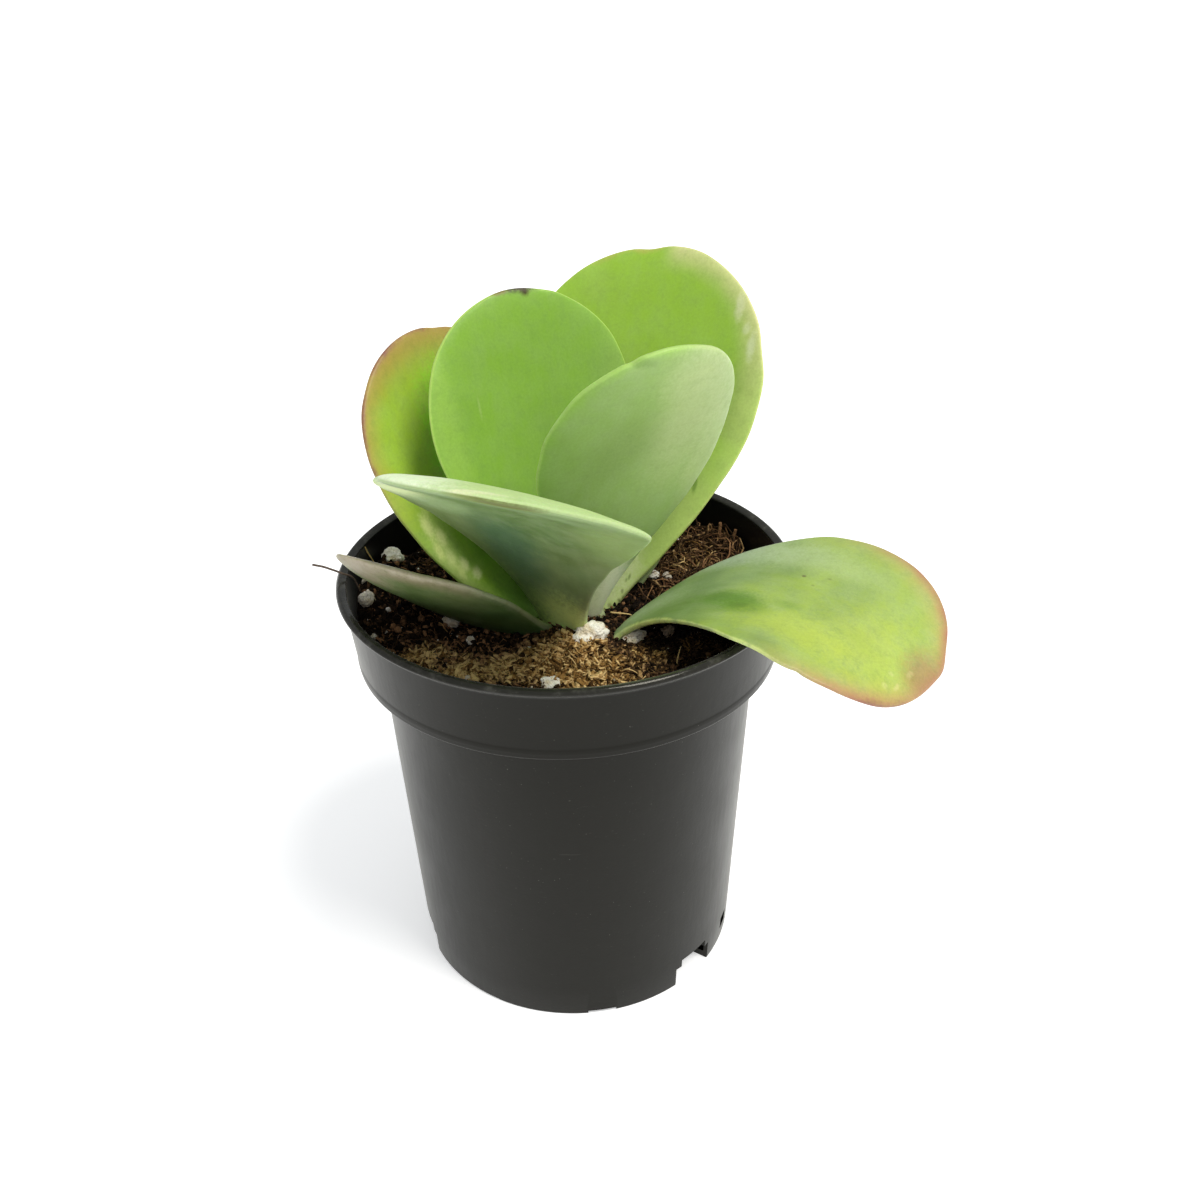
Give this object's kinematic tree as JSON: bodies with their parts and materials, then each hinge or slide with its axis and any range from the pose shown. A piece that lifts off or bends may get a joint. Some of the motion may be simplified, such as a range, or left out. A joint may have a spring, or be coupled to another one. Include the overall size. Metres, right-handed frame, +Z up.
{
  "type": "potted paddle plant",
  "caption": "Potted paddle succulent: an open rosette of thick round leaves on a short stem, rooted in potting mix in a round tapered nursery pot that stands on its flat base.",
  "frame": {"origin": "centre of the pot's underside, on the surface that the pot stands on", "axes": "+Z up along the pot's axis; the big front leaf leans out towards -Y, and the longest low leaf reaches out over the lip towards +X"},
  "size_m": [0.1386, 0.1213, 0.1651],
  "materials": {
    "pot_plastic": "black moulded polypropylene, satin, lightly scuffed",
    "potting_mix": "coir and peat potting mix, matte, loose and fibrous",
    "stem_skin": "smooth green plant skin with a dusty bloom",
    "leaf": "smooth fleshy leaf, satin, powdery bloom, reddish at some margins",
    "perlite": "white porous expanded grain, matte",
    "root_fibre": "dry dark fibre, matte"
  },
  "bodies": {
    "root": {"pot": "pot_plastic", "soil": "potting_mix", "stem": "stem_skin", "leaf_left_inner": "leaf", "leaf_right_inner": "leaf", "leaf_back": "leaf", "leaf_front": "leaf", "leaf_left_outer": "leaf", "leaf_low_right": "leaf", "leaf_low_left": "leaf", "leaf_low_back": "leaf", "bud_leaf_right": "leaf", "bud_leaf_left": "leaf", "perlite_01": "perlite", "perlite_02": "perlite", "perlite_03": "perlite", "perlite_04": "perlite", "perlite_05": "perlite", "perlite_06": "perlite", "perlite_07": "perlite", "perlite_08": "perlite", "perlite_09": "perlite", "perlite_10": "perlite", "perlite_11": "perlite", "perlite_12": "perlite", "perlite_13": "perlite", "perlite_14": "perlite", "whisker": "root_fibre"}
  },
  "joints": []
}
